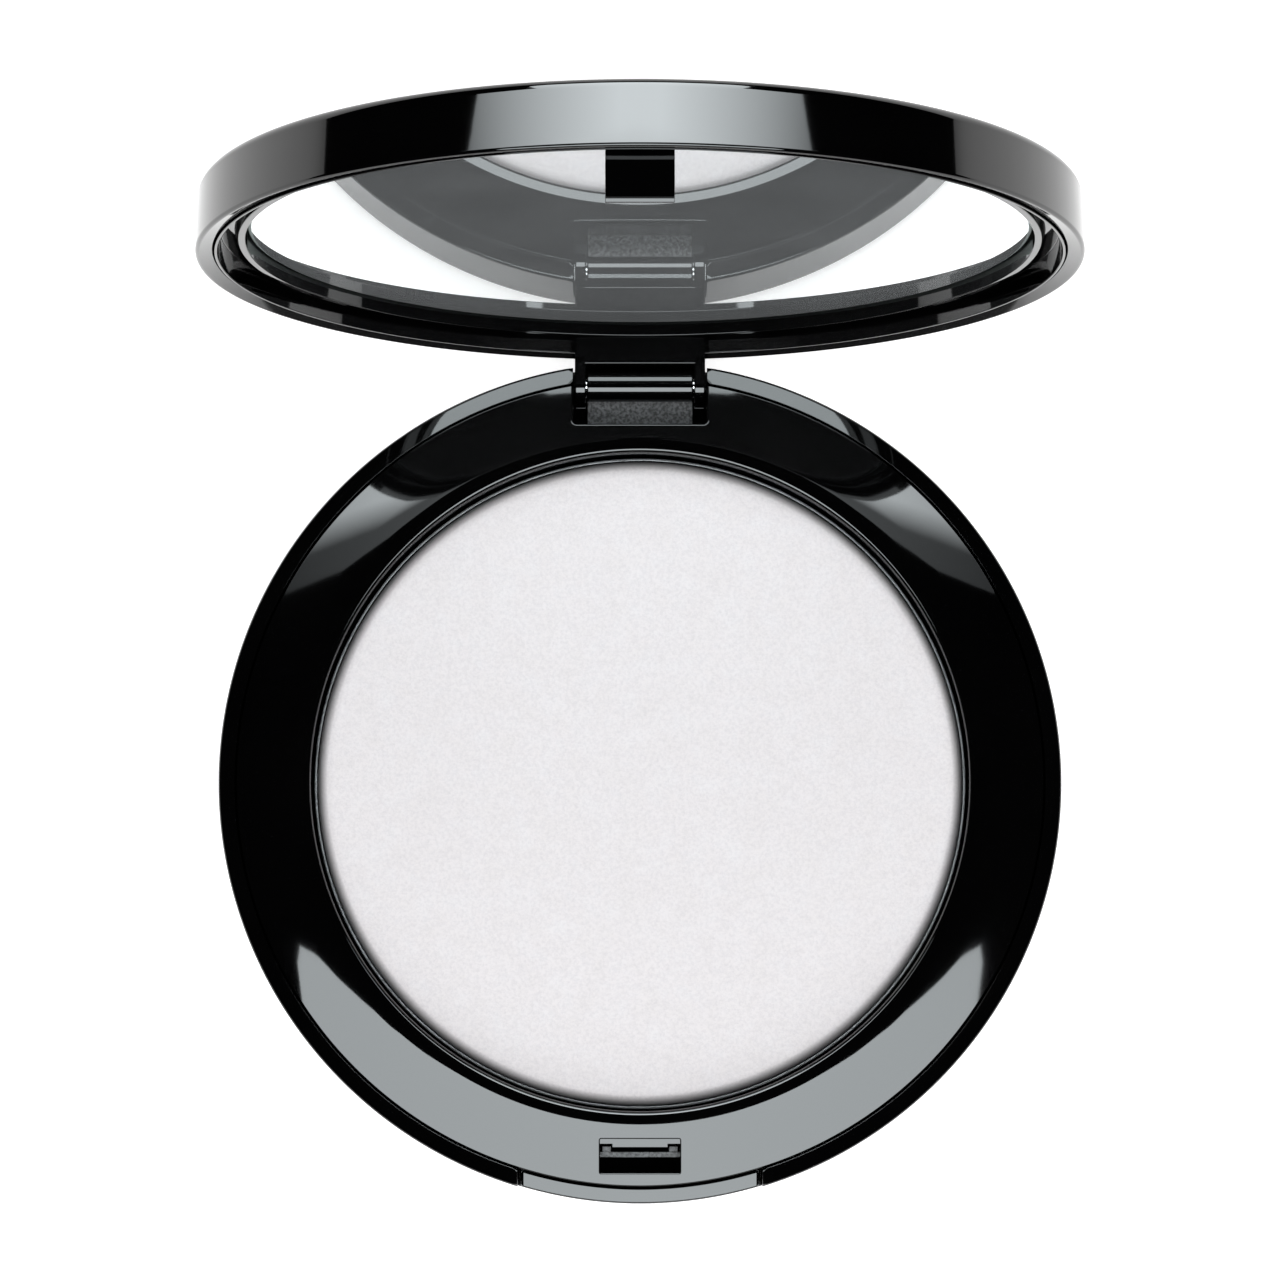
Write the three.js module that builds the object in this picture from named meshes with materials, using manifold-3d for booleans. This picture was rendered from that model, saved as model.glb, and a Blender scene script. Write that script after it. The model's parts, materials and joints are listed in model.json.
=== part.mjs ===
// A round powder compact, standing open: a base with a pan of pressed powder, a mirrored lid
// hinged at the back, and a push button at the front that frees the lid's latch.
// Millimetres, +Z up. The origin is the centre of the base's underside. The button faces -Y
// and the hinge is at +Y. The lid is described shut, and then swung open about the hinge pin.
import * as THREE from "three";
import { mergeVertices } from "three/addons/utils/BufferGeometryUtils.js";
import Module from "manifold-3d";

const wasm = await Module();
wasm.setup();

// ---- driving dimensions ----

const RADIUS = 38; // the compact's outline, seen from above
const WALL = 1.5; // both outer shells' side walls
const BASE_HEIGHT = 8; // underside to the base shell's rim
const LID_HEIGHT = 6.2; // lid shell's rim to the crown of its outside
const SHUT_GAP = 0.2; // between the two rims when the lid is shut
const ROUND_STEPS = 72; // flats round a large circle
const FILLET_STEPS = 3; // flats round a small edge

const BEYOND = 40; // cutters reach this far from the centre line
const ABOVE = 12; // and this high

const SHELL_INNER_R = RADIUS - WALL;
const SHELL_FLOOR = 1.2;
const FOOT_ROUND = 1.8; // base shell's bottom edge
const RIM_FALL_DEG = 22; // the rim slopes down outwards, so that the lid can roll past it
const RIM_ROUND = 0.3; // its outer edge
const WALL_CUT_R = 33; // cutters through the shell's wall start here

const DECK_R = 36.35; // edge of the deck inside the base shell
const DECK_CHAMFER = 0.1;
const DECK_CREST_Z = 9.05;
// The deck's surface as [radius, height]: nearly a cone, a soft crease, then level to the well.
const DECK_SURFACE = [
  [DECK_R - DECK_CHAMFER, 7.93],
  [34.6, 8.33],
  [33, 8.68],
  [32.2, 8.84],
  [31.45, 8.97],
  [31.1, 9.02],
  [30.6, DECK_CREST_Z],
];
const DECK_LIP_Z = 7.25; // underside of the deck's edge
const DECK_UNDER_Z = 7.7; // underside of the deck beside the well
const DECK_UNDER_R = 33; // where that underside starts to fall towards the edge
const SKIRT_INNER_R = 35.35;
const SKIRT_Z = 2.6; // the skirt's lower edge
const WELL_R = 29.6;
const WELL_ROUND = 0.35;
const WELL_OUTER_R = 30.85;
const WELL_BASE_Z = 1.25; // the cup's underside
const WELL_FLOOR_Z = 2.3;

const PAN_R = 29.45; // 59 mm pan, less its draught
const PAN_WALL = 0.3;
const PAN_BASE_Z = 2.55;
const PAN_RIM_Z = 5.4;
const PAN_FOOT_ROUND = 0.6;
const ADHESIVE_R = 27;
const ADHESIVE_Z = [2.35, 2.5];
const POWDER_R = 29.1;
const POWDER_BASE_Z = 2.9;
const POWDER_TOP_Z = 6.5;
const POWDER_ROUND = 1.4; // top edge
const POWDER_CHAMFER = 0.45; // bottom edge, over the pan's foot

const LABEL_R = 21.8;
const LABEL_THICK = 0.12;
const LABEL_RECESS_R = 22;
const LABEL_RECESS = 0.15;

const HINGE_Y = 36;
const HINGE_Z = 5.5;
const OPEN_DEG = 97; // how far the lid stands open
const PIN_R = 0.6;
const PIN_HALF = 5.8;
const BORE_R = 0.66;
const KNUCKLE_R = 1.45; // the base's middle knuckle
const KNUCKLE_HALF = 4.8;
const EYE_R = 1.65; // the lid's two lugs
const LUG_INNER = 4.9;
const NECK_HALF = 5.9;
const NECK_BACK_Y = 37.5;
const NECK_ROOT = [7.5, 10.8]; // heights of the part of the neck inside the lid's frame
const NECK_PLAY = 0.25; // between the neck and the middle knuckle
const NOTCH_HALF = 6.05;
const NOTCH_FRONT_Y = 32.3;
const NOTCH_FLOOR_Z = 3.1; // in the base shell's wall
const POCKET_FLOOR_Z = 3.4; // under the lugs
const POCKET_STEP_Z = 5.2; // the raised floor in front of the knuckle
const POCKET_WALL = 0.95;
const POCKET_FRONT_Y = 30.3; // the pocket's walls and floors join the well's wall here
const JOINED = 0.2; // how far joined solids go into each other

const FRAME_R = 36.35; // the lid's inner frame
const FRAME_FLOOR = [4.05, 4.8]; // heights above the lid's rim
const MIRROR_POCKET_R = 33.7;
const MIRROR_R = 33.55;
const MIRROR = [2.6, 3.7];
const MIRROR_BEVEL = 0.15;
const TAPE_R = 31;
const TAPE = [3.75, 4.0];
const TAPE_BEVEL = 0.02;
const LID_ROOF = 4.9; // underside of the lid shell's roof
const LID_RIM_ROUND = 0.3;
const LID_RIM_FALL_DEG = 18; // the lid's rim slopes like the base's
const LID_CROWN_ROUND = 0.9;
const LID_TAPER = 0.2; // the side wall leans in by this much, up to the crown's round
const LID_CROWN_H = 5.05; // where that round starts
const LID_CROWN_MIDWAY = [24, 6.13]; // the crown is slightly domed
// The bezel as [radius, height above the lid's rim]: a lip round the mirror, then a channel.
const BEZEL = [
  [MIRROR_POCKET_R, 1.5],
  [34.35, 1.4],
  [34.55, 2.4],
  [35.9, 2.4],
  [36.1, 0.3],
  [36.25, 0.3],
  [FRAME_R, 0.4],
];

const SLOT_HALF = 3.6;
const SLOT_INNER_Y = 32.1;
const SLOT_LEDGE_Y = 32.55;
const SLOT_TAB_Y = 32.85;
const SLOT_OUTER_Y = 35.15;
const SLOT_LEDGE_Z = 8.2;
const SLOT_TAB_HALF = 2.5;
const SLOT_BOTTOM_Z = 4;
const HOOK_HALF = 2.8;
// The hook as [radius, height above the lid's rim]. Its barb faces the centre.
const HOOK = [
  [34.75, 2.6],
  [34.75, -1.25],
  [34.15, -2.6],
  [34.15, -3.2],
  [33.95, -3.5],
  [33.7, -3.5],
  [33.4, -2.8],
  [33.4, -2.45],
  [33.85, -2.4],
  [33.85, 2.6],
];

const BUTTON_HALF = 10.7;
const BUTTON_R = 37.85;
const BUTTON_INNER_R = 35.7;
const BUTTON_BOTTOM_Z = 2.1;
const BUTTON_TOP_Z = 7.15;
const FLANGE_HALF = 12.2; // behind the shell's wall, so that the button can't fall out
const FLANGE_R = 36.3;
const FLANGE_DROP = 0.25; // its top is this much under the button's
const BUTTON_FOOT_ROUND = 0.6;
const BUTTON_TOP_ROUND = 1;
const BUTTON_TOP_SLOPE = 0.1; // how far the button's top falls before its round
const WINDOW_HALF = 11;
const WINDOW_Z = 1.9;
const CATCH_Y = [33.25, 33.75]; // the bar that the lid's hook goes under
const CATCH_Z = [5.85, 6.85];
const ARM_X = [3.9, 4.9];
const ARM_FRONT_Y = 36;
const HORN_X = [2.6, 3.4];
const HORN_REACH = 0.5; // past the catch bar, towards the centre
const BUTTON_ROOM_HALF = 12.6; // the deck's skirt is cut away round the button
const BUTTON_ROOM_Y = [32.9, 36.5];

const SPRING_X = 8;
const SPRING_Z = 4.6;
const SPRING_SEAT_HALF = 1.3;
const SPRING_Y = [-34.25, -31.35];
const SPRING_COIL_R = 1;
const SPRING_WIRE_R = 0.15;
const SPRING_TURNS = 4.5;
const SPRING_PLAY = 0.05; // at each end
const SPRING_PAD_HALF = 1.1; // the button's pads that push the springs
const SPRING_PAD_Y = 35.2;
const SPRING_SEAT_Y = 29; // the seats join the well's wall here

// ---- solids ----

// A closed geometry as a solid that can be cut and joined.
function solidOf(geometry) {
  const bare = geometry.index ? geometry.toNonIndexed() : geometry.clone();
  bare.deleteAttribute("normal");
  bare.deleteAttribute("uv");
  const merged = mergeVertices(bare, 1e-4);
  const corners = merged.index.array;
  const kept = [];
  for (let i = 0; i < corners.length; i += 3) {
    const [a, b, c] = [corners[i], corners[i + 1], corners[i + 2]];
    if (a !== b && b !== c && c !== a) kept.push(a, b, c);
  }
  const mesh = new wasm.Mesh({
    numProp: 3,
    vertProperties: merged.attributes.position.array,
    triVerts: new Uint32Array(kept),
  });
  return new wasm.Manifold(mesh);
}

// A profile of [radius, height] points turned about the Z axis.
function turned(profile, steps = ROUND_STEPS) {
  const points = profile.map(([r, z]) => new THREE.Vector2(r, z));
  const geometry = new THREE.LatheGeometry(points, steps);
  geometry.rotateX(Math.PI / 2);
  return solidOf(geometry);
}

// A turned ring whose profile closes on itself.
function turnedRing(profile) {
  return turned([...profile, profile[0]]);
}

function block([x0, x1], [y0, y1], [z0, z1]) {
  const geometry = new THREE.BoxGeometry(x1 - x0, y1 - y0, z1 - z0);
  geometry.translate((x0 + x1) / 2, (y0 + y1) / 2, (z0 + z1) / 2);
  return solidOf(geometry);
}

// The same block on the +X side and on the -X side.
function blockPair([x0, x1], y, z) {
  return block([x0, x1], y, z).add(block([-x1, -x0], y, z));
}

// A round bar along X, about the hinge axis.
function hingeBar(radius, x0, x1, steps = 24) {
  const geometry = new THREE.CylinderGeometry(radius, radius, x1 - x0, steps);
  geometry.rotateZ(Math.PI / 2);
  geometry.translate((x0 + x1) / 2, HINGE_Y, HINGE_Z);
  return solidOf(geometry);
}

// An outline of [y, z] points drawn out along X.
function drawnAlongX(outline, x0, x1) {
  const shape = new THREE.Shape(outline.map(([y, z]) => new THREE.Vector2(y, z)));
  const geometry = new THREE.ExtrudeGeometry(shape, { depth: x1 - x0, bevelEnabled: false });
  geometry.applyMatrix4(new THREE.Matrix4().set(0, 0, 1, x0, 1, 0, 0, 0, 0, 1, 0, 0, 0, 0, 0, 1));
  return solidOf(geometry);
}

// Points round an arc, from one angle in degrees to another.
function arc(centreR, centreZ, radius, fromDeg, toDeg, steps = FILLET_STEPS) {
  return Array.from({ length: steps + 1 }, (_, i) => {
    const angle = THREE.MathUtils.degToRad(fromDeg + ((toDeg - fromDeg) * i) / steps);
    return [centreR + radius * Math.cos(angle), centreZ + radius * Math.sin(angle)];
  });
}

// How much a slope falls over a distance.
function fallOver(distance, degrees) {
  return distance * Math.tan(THREE.MathUtils.degToRad(degrees));
}

// The height of a part of the lid above its rim, as a height in the shut compact.
function shutZ(height) {
  return BASE_HEIGHT + SHUT_GAP + height;
}

function shutProfile(profile) {
  return profile.map(([r, height]) => [r, shutZ(height)]);
}

// ---- base ----

function baseShell() {
  const rimAngle = 90 - RIM_FALL_DEG;
  const [slopeEndR, slopeEndAbove] = arc(RADIUS - RIM_ROUND, 0, RIM_ROUND, 0, rimAngle).at(-1);
  const slopeEndZ = BASE_HEIGHT - fallOver(slopeEndR - SHELL_INNER_R, RIM_FALL_DEG);
  const cup = turned([
    [0, LABEL_RECESS],
    [LABEL_RECESS_R, LABEL_RECESS],
    [LABEL_RECESS_R, 0],
    ...arc(RADIUS - FOOT_ROUND, FOOT_ROUND, FOOT_ROUND, -90, 0),
    ...arc(RADIUS - RIM_ROUND, slopeEndZ - slopeEndAbove, RIM_ROUND, 0, rimAngle),
    [SHELL_INNER_R, BASE_HEIGHT],
    [SHELL_INNER_R, SHELL_FLOOR],
    [0, SHELL_FLOOR],
  ]);
  const windowX = [-WINDOW_HALF, WINDOW_HALF];
  const notchX = [-NOTCH_HALF, NOTCH_HALF];
  const buttonWindow = block(windowX, [-BEYOND, -WALL_CUT_R], [WINDOW_Z, ABOVE]);
  const hingeNotch = block(notchX, [WALL_CUT_R, BEYOND], [NOTCH_FLOOR_Z, ABOVE]);
  return cup.subtract(buttonWindow).subtract(hingeNotch);
}

function bottomLabel() {
  return turned([
    [0, 0],
    [LABEL_R, 0],
    [LABEL_R, LABEL_THICK],
    [0, LABEL_THICK],
  ]);
}

function catchSlot() {
  const through = [SLOT_BOTTOM_Z, ABOVE];
  const x = [-SLOT_HALF, SLOT_HALF];
  const sides = [SLOT_TAB_HALF, SLOT_HALF];
  return block(x, [-SLOT_OUTER_Y, -SLOT_INNER_Y], [SLOT_LEDGE_Z, ABOVE])
    .add(block(x, [-SLOT_OUTER_Y, -SLOT_TAB_Y], through))
    .add(blockPair(sides, [-SLOT_TAB_Y - JOINED, -SLOT_LEDGE_Y], through));
}

// The notch's side walls and floors, and the knuckle that the pin goes through.
function hingePocket() {
  const back = [POCKET_FRONT_Y, HINGE_Y];
  const sideX = [NOTCH_HALF, NOTCH_HALF + POCKET_WALL];
  const floorX = [-NOTCH_HALF - JOINED, NOTCH_HALF + JOINED];
  const stepX = [-KNUCKLE_HALF, KNUCKLE_HALF];
  const insideDeck = turned([[0, 0], [DECK_R, 0], [DECK_R, DECK_CREST_Z], [0, DECK_CREST_Z]]);
  return blockPair(sideX, back, [SKIRT_Z, DECK_UNDER_Z + JOINED])
    .add(block(floorX, back, [SKIRT_Z, POCKET_FLOOR_Z]))
    .add(block(stepX, back, [SKIRT_Z, POCKET_STEP_Z]))
    .intersect(insideDeck)
    .add(hingeBar(KNUCKLE_R, -KNUCKLE_HALF, KNUCKLE_HALF))
    .subtract(hingeBar(BORE_R, -NECK_HALF, NECK_HALF));
}

function baseFrame() {
  const deck = turned([
    [0, WELL_BASE_Z],
    [WELL_OUTER_R, WELL_BASE_Z],
    [WELL_OUTER_R, DECK_UNDER_Z],
    [DECK_UNDER_R, DECK_UNDER_Z],
    [SKIRT_INNER_R, DECK_LIP_Z],
    [SKIRT_INNER_R, SKIRT_Z],
    [DECK_R, SKIRT_Z],
    [DECK_R, DECK_SURFACE[0][1] - DECK_CHAMFER],
    ...DECK_SURFACE,
    ...arc(WELL_R + WELL_ROUND, DECK_CREST_Z - WELL_ROUND, WELL_ROUND, 90, 180),
    [WELL_R, WELL_FLOOR_Z],
    [0, WELL_FLOOR_Z],
  ]);
  const notchX = [-NOTCH_HALF, NOTCH_HALF];
  const hingeNotch = block(notchX, [NOTCH_FRONT_Y, BEYOND], [0, ABOVE]);
  const roomX = [-BUTTON_ROOM_HALF, BUTTON_ROOM_HALF];
  const buttonRoom = block(roomX, [-BUTTON_ROOM_Y[1], -BUTTON_ROOM_Y[0]], [0, DECK_LIP_Z]);
  const seatX = [SPRING_X - SPRING_SEAT_HALF, SPRING_X + SPRING_SEAT_HALF];
  const seatZ = [SPRING_Z - SPRING_SEAT_HALF, SPRING_Z + SPRING_SEAT_HALF];
  return deck
    .subtract(buttonRoom)
    .subtract(hingeNotch)
    .subtract(catchSlot())
    .add(blockPair(seatX, [SPRING_Y[1] + SPRING_PLAY, -SPRING_SEAT_Y], seatZ))
    .add(hingePocket());
}

function powderPan() {
  const footR = PAN_R - PAN_FOOT_ROUND;
  const footZ = PAN_BASE_Z + PAN_FOOT_ROUND;
  return turned([
    [0, PAN_BASE_Z],
    ...arc(footR, footZ, PAN_FOOT_ROUND, -90, 0),
    [PAN_R, PAN_RIM_Z],
    [PAN_R - PAN_WALL, PAN_RIM_Z],
    ...arc(footR, footZ, PAN_FOOT_ROUND - PAN_WALL, 0, -90),
    [0, PAN_BASE_Z + PAN_WALL],
  ]);
}

function panAdhesive() {
  return turned([
    [0, ADHESIVE_Z[0]],
    [ADHESIVE_R, ADHESIVE_Z[0]],
    [ADHESIVE_R, ADHESIVE_Z[1]],
    [0, ADHESIVE_Z[1]],
  ]);
}

function pressedPowder() {
  return turned([
    [0, POWDER_BASE_Z],
    [POWDER_R - POWDER_CHAMFER, POWDER_BASE_Z],
    [POWDER_R, POWDER_BASE_Z + POWDER_CHAMFER],
    ...arc(POWDER_R - POWDER_ROUND, POWDER_TOP_Z - POWDER_ROUND, POWDER_ROUND, 0, 90),
    [0, POWDER_TOP_Z],
  ]);
}

function hingePin() {
  return hingeBar(PIN_R, -PIN_HALF, PIN_HALF);
}

// ---- push button ----

function pushButton() {
  const frontY = [-BEYOND, 0];
  const front = block([-BUTTON_HALF, BUTTON_HALF], frontY, [0, ABOVE]);
  const behindWall = block([-FLANGE_HALF, FLANGE_HALF], frontY, [0, ABOVE]);
  const footR = BUTTON_R - BUTTON_FOOT_ROUND;
  const topR = BUTTON_R - BUTTON_TOP_ROUND;
  const topZ = BUTTON_TOP_Z - BUTTON_TOP_ROUND - BUTTON_TOP_SLOPE;
  const cap = turnedRing([
    [BUTTON_INNER_R, BUTTON_BOTTOM_Z],
    ...arc(footR, BUTTON_BOTTOM_Z + BUTTON_FOOT_ROUND, BUTTON_FOOT_ROUND, -90, 0),
    ...arc(topR, topZ, BUTTON_TOP_ROUND, 0, 80),
    [FLANGE_R, BUTTON_TOP_Z],
    [BUTTON_INNER_R, BUTTON_TOP_Z],
  ]).intersect(front);
  const flange = turnedRing([
    [BUTTON_INNER_R, BUTTON_BOTTOM_Z],
    [FLANGE_R, BUTTON_BOTTOM_Z],
    [FLANGE_R, BUTTON_TOP_Z - FLANGE_DROP],
    [BUTTON_INNER_R, BUTTON_TOP_Z - FLANGE_DROP],
  ]).intersect(behindWall);
  const catchBar = block([-ARM_X[1], ARM_X[1]], [-CATCH_Y[1], -CATCH_Y[0]], CATCH_Z);
  const hornY = [-CATCH_Y[0] - JOINED, -CATCH_Y[0] + HORN_REACH];
  const horns = blockPair(HORN_X, hornY, CATCH_Z);
  const arms = blockPair(ARM_X, [-ARM_FRONT_Y, -CATCH_Y[0]], CATCH_Z);
  const padX = [SPRING_X - SPRING_PAD_HALF, SPRING_X + SPRING_PAD_HALF];
  const padY = [-SPRING_PAD_Y, SPRING_Y[0] - SPRING_PLAY];
  const pads = blockPair(padX, padY, [SPRING_Z - SPRING_PAD_HALF, SPRING_Z + SPRING_PAD_HALF]);
  return cap.add(flange).add(catchBar).add(horns).add(arms).add(pads);
}

// A helix along Y, for the two springs behind the button.
class Helix extends THREE.Curve {
  getPoint(t, target = new THREE.Vector3()) {
    const angle = 2 * Math.PI * SPRING_TURNS * t;
    const first = SPRING_Y[0] + SPRING_WIRE_R + SPRING_PLAY;
    const last = SPRING_Y[1] - SPRING_WIRE_R - SPRING_PLAY;
    const x = SPRING_COIL_R * Math.cos(angle);
    const z = SPRING_COIL_R * Math.sin(angle);
    return target.set(x, first + (last - first) * t, z);
  }
}

function buttonSpring() {
  const wire = new THREE.Shape();
  wire.absarc(0, 0, SPRING_WIRE_R, 0, 2 * Math.PI);
  const geometry = new THREE.ExtrudeGeometry(wire, {
    curveSegments: 3,
    steps: 50,
    extrudePath: new Helix(),
  });
  return solidOf(geometry);
}

// ---- lid, as it lies when shut ----

function lidShell() {
  const crownR = RADIUS - LID_TAPER - LID_CROWN_ROUND;
  const rimR = RADIUS - LID_RIM_ROUND;
  const rimArc = arc(rimR, LID_RIM_ROUND, LID_RIM_ROUND, -90 - LID_RIM_FALL_DEG, 0);
  const [slopeEndR, slopeEndHeight] = rimArc[0];
  const innerEdge = slopeEndHeight + fallOver(slopeEndR - SHELL_INNER_R, LID_RIM_FALL_DEG);
  return turned(
    shutProfile([
      [0, LID_ROOF],
      [SHELL_INNER_R, LID_ROOF],
      [SHELL_INNER_R, innerEdge],
      ...rimArc,
      ...arc(crownR, LID_CROWN_H, LID_CROWN_ROUND, 0, 80),
      LID_CROWN_MIDWAY,
      [0, LID_HEIGHT],
    ]),
  );
}

// The hook that goes down through the slot and under the catch.
function latchHook() {
  const outline = HOOK.map(([r, height]) => [-r, shutZ(height)]);
  return drawnAlongX(outline, -HOOK_HALF, HOOK_HALF);
}

// The neck goes down into the base's notch and ends in two lugs round the pin.
function hingeNeck() {
  const front = HINGE_Y - EYE_R;
  const neckX = [-NECK_HALF, NECK_HALF];
  const window = [0, HINGE_Z + KNUCKLE_R + NECK_PLAY];
  const insideLid = turned([[0, 0], [FRAME_R, 0], [FRAME_R, ABOVE], [0, ABOVE]]);
  const root = block(neckX, [front, NECK_BACK_Y], NECK_ROOT).intersect(insideLid);
  return block(neckX, [front, NECK_BACK_Y], [HINGE_Z, BASE_HEIGHT])
    .add(hingeBar(EYE_R, -NECK_HALF, NECK_HALF))
    .subtract(block([-LUG_INNER, LUG_INNER], [0, BEYOND], window))
    .add(root)
    .subtract(hingeBar(BORE_R, -NOTCH_HALF, NOTCH_HALF));
}

function lidFrame() {
  return turned(
    shutProfile([
      [0, FRAME_FLOOR[0]],
      [MIRROR_POCKET_R, FRAME_FLOOR[0]],
      ...BEZEL,
      [FRAME_R, FRAME_FLOOR[1]],
      [0, FRAME_FLOOR[1]],
    ]),
  )
    .add(latchHook())
    .add(hingeNeck());
}

function disc(radius, [low, high], edge) {
  return turned(
    shutProfile([
      [0, low],
      [radius - edge, low],
      [radius, low + edge],
      [radius, high],
      [0, high],
    ]),
  );
}

function mirrorTape() {
  return disc(TAPE_R, TAPE, TAPE_BEVEL);
}

function mirror() {
  return disc(MIRROR_R, MIRROR, MIRROR_BEVEL);
}

// ---- scene ----

const GLOSS_BLACK = { color: 0x060607, roughness: 0.08, metalness: 0 };
const STEEL = { color: 0xb9bcc0, roughness: 0.3, metalness: 1 };

function named(name, solid, finish) {
  const { vertProperties, numProp, triVerts } = solid.getMesh();
  const positions = new Float32Array((vertProperties.length / numProp) * 3);
  for (let i = 0; i < positions.length / 3; i++) {
    positions.set(vertProperties.subarray(i * numProp, i * numProp + 3), i * 3);
  }
  const geometry = new THREE.BufferGeometry();
  geometry.setAttribute("position", new THREE.BufferAttribute(positions, 3));
  geometry.setIndex(new THREE.BufferAttribute(new Uint32Array(triVerts), 1));
  geometry.computeVertexNormals();
  const mesh = new THREE.Mesh(geometry, new THREE.MeshStandardMaterial(finish));
  mesh.name = name;
  return mesh;
}

const compact = new THREE.Group();
compact.name = "powder_compact";

const base = new THREE.Group();
base.add(named("base_shell", baseShell(), GLOSS_BLACK));
base.add(named("base_frame", baseFrame(), GLOSS_BLACK));
base.add(named("bottom_label", bottomLabel(), { color: 0xe9e8e4, roughness: 0.6 }));
base.add(named("pan_adhesive", panAdhesive(), { color: 0xd8d4c6, roughness: 0.7 }));
base.add(named("powder_pan", powderPan(), { color: 0xc6c8ca, roughness: 0.35, metalness: 1 }));
base.add(named("pressed_powder", pressedPowder(), { color: 0xe9e6e8, roughness: 0.95 }));
base.add(named("hinge_pin", hingePin(), STEEL));
for (const [side, x] of [["left", -SPRING_X], ["right", SPRING_X]]) {
  const spring = named(`button_spring_${side}`, buttonSpring(), STEEL);
  spring.position.set(x, 0, SPRING_Z);
  base.add(spring);
}
compact.add(base);

const button = new THREE.Group();
button.add(named("push_button", pushButton(), GLOSS_BLACK));
compact.add(button);

const lid = new THREE.Group();
lid.position.set(0, HINGE_Y, HINGE_Z);
lid.rotation.x = THREE.MathUtils.degToRad(-OPEN_DEG);
const lidParts = [
  named("lid_shell", lidShell(), GLOSS_BLACK),
  named("lid_frame", lidFrame(), GLOSS_BLACK),
  named("mirror_tape", mirrorTape(), { color: 0x2c2c2e, roughness: 0.9 }),
  named("mirror", mirror(), { color: 0xe8ebec, roughness: 0.02, metalness: 1 }),
];
for (const part of lidParts) {
  part.position.set(0, -HINGE_Y, -HINGE_Z);
  lid.add(part);
}
compact.add(lid);

export default compact;
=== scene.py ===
"""A round powder compact, standing open. Metres in Blender, millimetres in this script's shapes."""

import json
import math

import bmesh
import bpy
import numpy as np
from mathutils import Matrix, Vector
from mathutils.geometry import delaunay_2d_cdt


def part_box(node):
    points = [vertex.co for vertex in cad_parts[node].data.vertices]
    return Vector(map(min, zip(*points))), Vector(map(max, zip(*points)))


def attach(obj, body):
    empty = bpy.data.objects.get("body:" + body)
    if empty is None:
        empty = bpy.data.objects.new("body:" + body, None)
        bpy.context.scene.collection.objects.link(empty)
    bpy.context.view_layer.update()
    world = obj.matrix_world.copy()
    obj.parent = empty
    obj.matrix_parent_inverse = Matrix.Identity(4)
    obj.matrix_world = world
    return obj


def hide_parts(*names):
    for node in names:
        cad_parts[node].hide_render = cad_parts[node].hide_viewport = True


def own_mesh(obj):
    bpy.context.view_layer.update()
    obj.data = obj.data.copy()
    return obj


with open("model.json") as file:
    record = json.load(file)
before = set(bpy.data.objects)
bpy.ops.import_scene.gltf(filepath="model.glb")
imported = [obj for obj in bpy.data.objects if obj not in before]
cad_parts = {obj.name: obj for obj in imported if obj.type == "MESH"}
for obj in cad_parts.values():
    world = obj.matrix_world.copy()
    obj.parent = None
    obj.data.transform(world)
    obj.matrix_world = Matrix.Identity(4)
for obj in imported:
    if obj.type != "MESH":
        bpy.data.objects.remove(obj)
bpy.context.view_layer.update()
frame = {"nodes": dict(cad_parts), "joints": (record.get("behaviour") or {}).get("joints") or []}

# ---- where things are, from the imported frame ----

MM = 1000.0
SHELL_BOX = [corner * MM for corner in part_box("base_shell")]
RADIUS = SHELL_BOX[1].x - 0.004  # this and other tops stay a hair inside the CAD's box
BASE_HEIGHT = SHELL_BOX[1].z
HINGE = next(j for j in frame["joints"] if j["name"] == "lid_hinge")
HINGE_Y, HINGE_Z = (v * MM for v in HINGE["pos_m"][1:])
OPEN_DEG = HINGE["range_deg"][1]

# ---- sizes in millimetres, the same as the CAD's ----

SHUT_GAP = 0.2
LID_Z = BASE_HEIGHT + SHUT_GAP  # the lid's rim plane when shut

SHELL_INNER_R = 36.5
SHELL_FLOOR = 1.2
FOOT_ROUND = 1.8
FOOT_INNER_R = 30
RIM_FALL_DEG = 22
LID_RIM_FALL_DEG = 18
LABEL_R = 21.8
RECESS_R = 22.0
RECESS_DEPTH = 0.15

DECK_R = 36.35
DECK_CREST_Z = 9.05
DECK_ROUND = 0.12
DECK_UNDER = ((33, 35.35), (7.7, 7.25))
DECK_LIP_Z = 7.25
SKIRT = (35.35, 36.35)
SKIRT_Z = 2.6
SKIRT_TOP_Z = 7.3
SKIRT_FRONT_GAP_DEG = 20.6  # half of the gap for the button
SKIRT_BACK_GAP_DEG = 11.2  # half of the gap for the hinge
WELL_R = 29.6
WELL_OUTER_R = 30.85
WELL_ROUND = 0.45
WELL_BASE_Z = 1.25
WELL_FLOOR_Z = 2.3

PAN_R = 29.45
PAN_WALL = 0.3
PAN_BASE_Z = 2.55
PAN_RIM_Z = 5.4
POWDER_R = 29.1
POWDER_BASE_Z = 2.9
POWDER_TOP_Z = 6.5
POWDER_ROUND = 1.4

NOTCH_HALF = 6.05
NOTCH_FRONT_Y = 32.3
NOTCH_SILL_Z = 3.1
POCKET_BASE_Z = 2.6
POCKET_FLOOR_Z = 3.4
POCKET_STEP_Z = 5.2
CHEEK_Y = (31, 35.5)  # the walls at the notch's two sides
CHEEK_TOP_Z = 7.6
WINDOW_HALF = 11.0
WINDOW_SILL_Z = 1.9

SLOT_HALF = 3.6
SLOT_Y = (-35.15, -32.1)
SLOT_LEDGE_Z = 8.2
SLOT_FLOOR_Z = 7.3

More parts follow.
